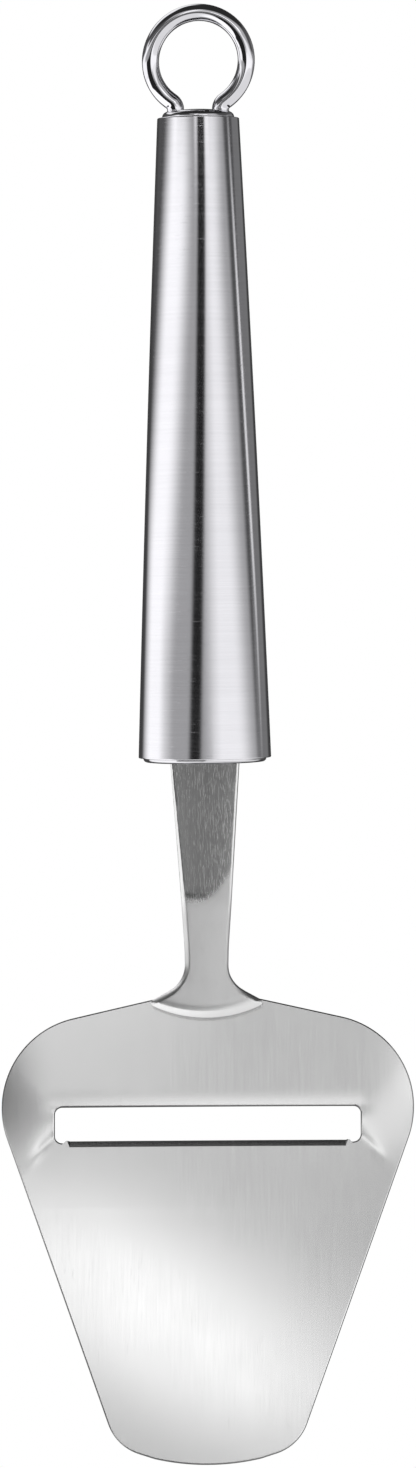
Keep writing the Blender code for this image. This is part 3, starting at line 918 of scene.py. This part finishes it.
def roundRims(sheet):
    # Rounds the stamped edges, except the one that is ground, up to the slot's lower corners.
    lipTop = samePlace - cutAt
    lipFloor = -cutAt - blade["lipRelief"] - samePlace
    lipReach = lipHalf + blade["lipRelief"] + samePlace
    rims = []
    for edge in sheet.edges:
        first, last = (corner.co for corner in edge.verts)
        level = abs(first.z - last.z) < samePlace
        ground = all(lipFloor <= co.y <= lipTop and abs(co.x) <= lipReach for co in (first, last))
        if level and not ground and edge.calc_face_angle(0.0) > blade["rimAngle"]:
            rims.append(edge)
    bmesh.ops.bevel(
        sheet,
        geom=rims,
        offset=blade["rimRound"],
        segments=blade["rimSteps"],
        profile=0.5,
        affect="EDGES",
        clamp_overlap=False,
    )


def markRims(sheet):
    # Sheared rims, but not the ground bevel, carry a mark; there the finish paints them dark as painted
    # shade, a dark outline, and makes them rougher.
    sheet.normal_update()
    mark = sheet.faces.layers.float.new("rim")
    for face in sheet.faces:
        middle = face.calc_center_median()
        ground = face.normal.y > blade["bevelFacing"] and -cutAt - blade["bevelRun"] < middle.y < -cutAt
        steep = abs(face.normal.z) < blade["rimSteep"]
        face[mark] = 1.0 if steep and not (ground and abs(middle.x) < lipHalf) else 0.0


def bevelCutter():
    depth = blade["sheet"] - blade["edgeLand"]
    slope = math.atan2(depth, blade["bevelRun"])
    across = 2 * lipHalf + blade["bevelRunout"]
    size = (across, 2 * math.hypot(depth, blade["bevelRun"]), 2 * blade["sheet"])
    middle = Vector((0.0, -cutAt - blade["bevelRun"] / 2, blade["sheet"] / 2 - depth / 2))
    lift = Vector((0.0, math.sin(slope), math.cos(slope))) * blade["sheet"]
    cutter = boxCutter("edgeBevel", size, middle + lift)
    cutter.rotation_euler = (-slope, 0.0, 0.0)
    for corner in cutter.data.vertices:
        if corner.co.z < 0:
            corner.co.x -= math.copysign(blade["bevelRunout"], corner.co.x)
    return cutter


def sliceSheet(sheet, axis, places):
    normal = Vector((0.0, 0.0, 0.0))
    normal[axis] = 1.0
    for place in places:
        everything = sheet.verts[:] + sheet.edges[:] + sheet.faces[:]
        bmesh.ops.bisect_plane(
            sheet, geom=everything, plane_co=normal * place, plane_no=normal, dist=samePlace
        )


def makePressTree():
    # Presses the flat sheet: step below the slot, bowed and crowned lower plate, then its slant.
    inputs = {
        "Slot Top": "Float",
        "Cut At": "Float",
        "Slot End": "Float",
        "Edge Drop": "Float",
        "Strip Fall": "Float",
        "Strip Rise": "Float",
        "Fold Share": "Float",
        "Curl Radius": "Float",
        "Curl At": "Float",
        "Curl Reach": "Float",
        "Lip Lift": "Float",
        "Lip Run": "Float",
        "Crease Beside": "Float",
        "Crease Below": "Float",
        "Crease Lean": "Float",
        "Crease Long": "Float",
        "Crease Wide": "Float",
        "Crease Depth": "Float",
        "Bow Radius": "Float",
        "Crown Radius": "Float",
        "Seat": "Vector",
        "Slant": "Vector",
        "Bend Point": "Vector",
        "Finish": "Material",
    }
    graph, start = newTree("pressSheet", inputs)
    place = graph.add("GeometryNodeInputPosition")
    across = graph.add("ShaderNodeSeparateXYZ", None, {"Vector": place}, "X")
    below = -across.other("Y")
    beside = (across.math("ABSOLUTE") - start.other("Slot End")).math("MAXIMUM", 0.0)
    begin = start.other("Slot Top") - start.other("Strip Rise") * beside
    end = start.other("Cut At") + start.other("Strip Fall") * beside
    share = ((below - begin) / (end - begin)).clamp()
    fold = start.other("Fold Share")
    early = share * share / fold
    late = 1.0 - (1.0 - share) * (1.0 - share) / (1.0 - fold)
    isEarly = share.math("LESS_THAN", fold)
    dropped = start.other("Edge Drop") * (early * isEarly + late * (1.0 - isEarly))
    away = (below - start.other("Curl At")) / start.other("Curl Reach")
    swell = (1.0 - away * away).math("MAXIMUM", 0.0)
    curled = beside * beside / (2.0 * start.other("Curl Radius")) * swell * swell
    lower = (below - start.other("Cut At")).math("MAXIMUM", 0.0)
    bowed = lower * lower / (2.0 * start.other("Bow Radius"))
    crowned = across * across / (2.0 * start.other("Crown Radius"))
    near = 1.0 - (below - start.other("Slot Top")).math("ABSOLUTE") / start.other("Lip Run")
    near = near.clamp() * (1.0 - beside / start.other("Lip Run")).clamp()
    lifted = near * near * start.other("Lip Lift")
    outward = beside - start.other("Crease Beside")
    downward = below - start.other("Cut At") - start.other("Crease Below")
    cosine = start.other("Crease Lean").math("COSINE")
    sine = start.other("Crease Lean").math("SINE")
    along = (outward * cosine + downward * sine) / start.other("Crease Long")
    astride = (downward * cosine - outward * sine) / start.other("Crease Wide")
    creased = start.other("Crease Depth") * (-(along * along) - astride * astride).math("EXPONENT")
    depth = crowned + dropped + curled + creased
    shift = graph.add("ShaderNodeCombineXYZ", None, {"Z": bowed + lifted - depth})
    pressed = graph.add("GeometryNodeSetPosition", None, {"Geometry": start, "Offset": shift})
    seated = graph.add(
        "GeometryNodeTransform", None, {"Geometry": pressed, "Translation": start.other("Seat")}
    )
    placed = {"Geometry": seated, "Translation": start.other("Bend Point"), "Rotation": start.other("Slant")}
    endTree(graph, graph.add("GeometryNodeTransform", None, placed), start)
    return graph


def makeBlade():
    sheet = flatSheet("bladeBlank", [bladeOutline(), slotOutline()], blade["sheet"])
    roundRims(sheet)
    mesh = bpy.data.meshes.new("bladeBlank")
    sheet.to_mesh(mesh)
    sheet.clear()
    sheet.from_mesh(cutMesh("bladeBlank", mesh, [bevelCutter()]))
    joinFlat(sheet)
    edgeX = blade["width"] / 2
    strip = spread(slotEnd, edgeX, blade["formPitch"])[:-1]
    sliceSheet(sheet, 0, [-place for place in strip] + strip)
    sliceSheet(sheet, 0, spread(-slotEnd, slotEnd, blade["platePitch"])[1:-1])
    formStart = blade["slotTop"] - blade["stripRise"] * blade["strip"]
    formEnd = cutAt + blade["stripFall"] * blade["strip"]
    sliceSheet(sheet, 1, [-place for place in spread(0.0, formStart, blade["platePitch"])[1:-1]])
    sliceSheet(sheet, 1, [-place for place in spread(formStart, formEnd, blade["formPitch"])])
    sliceSheet(sheet, 1, [-place for place in spread(formEnd, blade["length"], blade["platePitch"])[1:-1]])
    markRims(sheet)
    seed = bpy.data.meshes.new("bladeSheet")
    sheet.to_mesh(seed)
    sheet.free()
    values = {
        "Slot Top": blade["slotTop"],
        "Cut At": cutAt,
        "Slot End": slotEnd,
        "Edge Drop": blade["edgeDrop"],
        "Strip Fall": blade["stripFall"],
        "Strip Rise": blade["stripRise"],
        "Fold Share": blade["foldShare"],
        "Curl Radius": blade["curlRadius"],
        "Curl At": blade["curlAt"],
        "Curl Reach": blade["curlReach"],
        "Lip Lift": blade["lipLift"],
        "Lip Run": blade["lipRun"],
        "Crease Beside": blade["creaseBeside"],
        "Crease Below": blade["creaseBelow"],
        "Crease Lean": blade["creaseLean"],
        "Crease Long": blade["creaseLong"],
        "Crease Wide": blade["creaseWide"],
        "Crease Depth": blade["creaseDepth"],
        "Bow Radius": blade["bowRadius"],
        "Crown Radius": blade["crownRadius"],
        "Seat": (0.0, -blade["topAt"], -(shank["thickness"] + blade["sheet"]) / 2 - cap["gap"]),
        "Slant": (math.pi / 2 - shank["bendAngle"], 0.0, 0.0),
        "Bend Point": (0.0, 0.0, handle["rearRim"] - handle["length"] - shank["bendAt"]),
        "Finish": plateSteel,
    }
    mesh = growMesh("bladeSheet", seed, makePressTree(), values)
    return finishPiece("bladeSheet", mesh, ["blade"], True)


turnTree = makeTurnTree()
handleMesh = turnMesh("handleTube", handleProfile(), True, handle, handleSteel)
finishPiece("handleTube", handleMesh, ["handle_tube"])
makeRearPlug()
makeFrontCup()
makeLoop()
makeShank()
makeBlade()
for node in ("loop_weld", "tang_weld_front", "tang_weld_back"):
    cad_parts[node].data.materials.clear()
    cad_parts[node].data.materials.append(weldMetal)
print("pieces made")


# Studio

studio = {
    "base": 0.1,
    # A card's sides may lean or close in as it climbs from its lowest to its highest level.
    "bend": {"slant": 0.0, "narrow": 0.0, "middle": 4.0, "lowest": -3.0, "highest": 9.0},
    # Across: azimuth, half width, soft edge. Upright: height, half reach, soft edge. In degrees.
    "cards": {
        "floor": {"across": (0.0, 200.0, 1.0), "upright": (-57.0, 40.0, 4.0), "level": 1.45},
        "under shade": {"across": (0.0, 200.0, 1.0), "upright": (-85.0, 22.0, 10.0), "level": 0.3},
        "low right": {"across": (60.0, 66.0, 8.0), "upright": (-55.0, 43.0, 3.0), "level": 0.95},
        "right back": {"across": (145.0, 35.0, 5.0), "upright": (2.0, 18.0, 5.0), "level": 0.22},
        "front grey": {"across": (-23.0, 50.0, 10.0), "upright": (4.0, 9.0, 1.5), "level": 0.46},
        "left box": {
            "across": (-83.0, 27.5, 19.0),
            "upright": (15.0, 30.0, 4.0),
            "bend": {"slant": 6.95, "lowest": 1.7},
            "level": 1.35,
        },
        "left back": {"across": (-165.0, 27.0, 7.0), "upright": (5.0, 20.0, 5.0), "level": 0.07},
        "right shoulder": {
            "across": (65.0, 26.5, 6.0),
            "upright": (4.5, 8.0, 2.0),
            "bend": {"slant": -3.9},
            "level": 0.47,
        },
        "right box": {
            "across": (41.4, 26.1, 19.0),
            "upright": (6.0, 20.0, 5.0),
            "bend": {"slant": -2.4, "narrow": 2.4, "highest": 6.9},
            "level": 1.15,
        },
        "rim line": {
            "across": (108.7, 2.8, 2.5),
            "upright": (3.9, 3.0, 2.2),
            "bend": {"slant": -4.2, "lowest": 1.0},
            "level": 1.1,
        },
        "front box": {"across": (20.0, 45.0, 12.0), "upright": (26.0, 16.3, 1.3), "level": 0.55},
        "right glow": {"across": (10.5, 19.5, 3.5), "upright": (12.0, 2.4, 1.4), "level": 1.7},
        "right strip glow": {"across": (19.0, 13.0, 2.5), "upright": (14.5, 2.6, 1.5), "level": 1.7},
        "dark strip": {
            "across": (-5.8, 10.0, 4.0),
            "upright": (4.9, 5.9, 0.6),
            "bend": {"slant": 3.4, "highest": 8.4},
            "level": 0.02,
        },
        "low right box": {"across": (44.0, 42.0, 4.0), "upright": (-8.0, 4.5, 1.0), "level": 1.3},
        "low left box": {"across": (-89.0, 38.0, 4.0), "upright": (-10.5, 7.0, 1.0), "level": 1.3},
        "low left dark": {"across": (-155.0, 27.0, 4.0), "upright": (-10.5, 7.0, 1.0), "level": 0.1},
        "left flag": {
            "across": (-22.5, 27.0, 3.0),
            "upright": (-17.5, 12.3, 0.8),
            "bend": {"slant": 0.7, "middle": -7.6, "lowest": -30.0},
            "level": 0.02,
        },
        "low flag": {"across": (3.0, 13.0, 4.0), "upright": (-2.2, 2.7, 0.8), "level": 0.17},
        "low glow": {"across": (3.0, 13.0, 4.0), "upright": (-4.6, 0.9, 1.2), "level": 0.4},
        "low left glow": {"across": (-10.0, 4.0, 4.0), "upright": (-3.0, 2.0, 1.0), "level": 0.36},
        "plate highlight": {
            "across": (-4.3, 2.0, 4.4),
            "upright": (23.9, 4.6, 2.6),
            "bend": {"slant": 1.3, "middle": 24.0, "highest": 60.0},
            "level": 3.25,
        },
        "upper left flag": {"across": (-36.0, 25.5, 4.0), "upright": (14.5, 5.0, 1.5), "level": 0.11},
        "high left flag": {"across": (-75.0, 50.0, 6.0), "upright": (36.0, 18.0, 4.0), "level": 0.08},
        "dark ceiling": {"across": (0.0, 200.0, 1.0), "upright": (75.0, 40.0, 5.0), "level": 0.03},
        "high left box": {"across": (-140.0, 35.0, 8.0), "upright": (45.0, 18.0, 4.0), "level": 1.2},
        "dark back": {"across": (180.0, 32.0, 6.0), "upright": (0.0, 18.0, 4.0), "level": 0.06},
        "low back": {"across": (180.0, 48.0, 12.0), "upright": (-29.0, 24.0, 4.0), "level": 0.08},
    },
}


def makeStudio():
    world = bpy.data.worlds.new("studio")
    scene.world = world
    world.use_nodes = True
    world.node_tree.nodes.clear()
    graph = Graph(world.node_tree)
    direction = graph.add("ShaderNodeTexCoord", None, None, "Generated")
    east = graph.add("ShaderNodeSeparateXYZ", None, {"Vector": direction}, "X")
    azimuth = east.math("ARCTAN2", -east.other("Y")).math("DEGREES")
    elevation = east.other("Z").math("ARCSINE").math("DEGREES")
    level = elevation * 0.0 + studio["base"]
    for card in studio["cards"].values():
        middle, half, soft = card["across"]
        height, reach, fade = card["upright"]
        bend = {**studio["bend"], **card.get("bend", {})}
        climb = elevation.math("MINIMUM", bend["highest"]).math("MAXIMUM", bend["lowest"]) - bend["middle"]
        half = half - climb * bend["narrow"]
        turn = azimuth - climb * bend["slant"] - (middle - 180.0)
        turn = turn.math("FLOORED_MODULO", 360.0) - 180.0
        mask = turn.window(half, soft) * (elevation - height).window(reach, fade)
        level = level + (card["level"] - level) * mask
    # White behind the object, while the steel mirrors the cards.
    path = graph.add("ShaderNodeLightPath", None, None, "Is Camera Ray")
    seen = path.math("MAXIMUM", path.other("Is Transmission Ray"))
    shown = level + (1.0 - level) * seen
    light = graph.add("ShaderNodeBackground", None, {"Color": shown, "Strength": 1.0})
    graph.add("ShaderNodeOutputWorld", None, {"Surface": light})


floorLook = {
    "level": -0.279,
    "radius": 1.0,
    "sides": 96,
    "pale": 0.9,
    "shadeFrom": 0.07,
    "shadeTo": 0.2,
}


def makeFloor():
    disc = bmesh.new()
    bmesh.ops.create_circle(disc, cap_ends=True, segments=floorLook["sides"], radius=floorLook["radius"])
    mesh = bpy.data.meshes.new("floor")
    disc.to_mesh(mesh)
    disc.free()
    floor = placeBlank("floor", mesh)
    floor.location.z = floorLook["level"]
    floor.visible_glossy = False
    material = bpy.data.materials.new("paleFloor")
    material.use_nodes = True
    material.node_tree.nodes.clear()
    graph = Graph(material.node_tree)
    place = graph.add("ShaderNodeTexCoord", None, None, "Object")
    away = graph.add("ShaderNodeVectorMath", {"operation": "LENGTH"}, {0: place}, "Value")
    share = away.ramp(floorLook["shadeFrom"], floorLook["shadeTo"])
    pale = floorLook["pale"]
    paint = graph.add("ShaderNodeBsdfDiffuse", None, {"Color": (pale, pale, pale, 1.0)})
    glow = graph.add("ShaderNodeEmission", None, {"Color": (1.0, 1.0, 1.0, 1.0), "Strength": 1.0})
    both = graph.add("ShaderNodeMixShader", None, {"Fac": share, 1: paint, 2: glow})
    graph.add("ShaderNodeOutputMaterial", None, {"Surface": both})
    mesh.materials.append(material)


lampLook = {"height": 0.9, "size": 0.6, "power": 12.5}


def makeLamp():
    light = bpy.data.lights.new("overheadLamp", "AREA")
    light.shape = "DISK"
    light.size = lampLook["size"]
    light.energy = lampLook["power"]
    lamp = placeBlank("overheadLamp", light)
    lamp.location.z = lampLook["height"]
    lamp.visible_glossy = False
    lamp.visible_camera = False


shot = {
    "distance": 940.0,
    "height": -80.898,
    "aimAcross": 0.559,
    "aimHeight": -118.681,
    "azimuth": math.radians(2.199),
    "roll": math.radians(-0.606),
    "lens": 137.858,
}


def makeCamera():
    lens = bpy.data.cameras.new("camera")
    lens.lens = shot["lens"]
    camera = placeBlank("camera", lens)
    aim = Vector((shot["aimAcross"], 0.0, shot["aimHeight"])) * milli
    place = Vector((
        shot["aimAcross"] + math.sin(shot["azimuth"]) * shot["distance"],
        -math.cos(shot["azimuth"]) * shot["distance"],
        shot["height"],
    )) * milli
    facing = (aim - place).to_track_quat("-Z", "Y").to_matrix().to_4x4()
    camera.matrix_world = Matrix.Translation(place) @ facing @ Matrix.Rotation(shot["roll"], 4, "Z")
    scene.camera = camera


makeStudio()
makeFloor()
makeLamp()
makeCamera()
print("studio made")
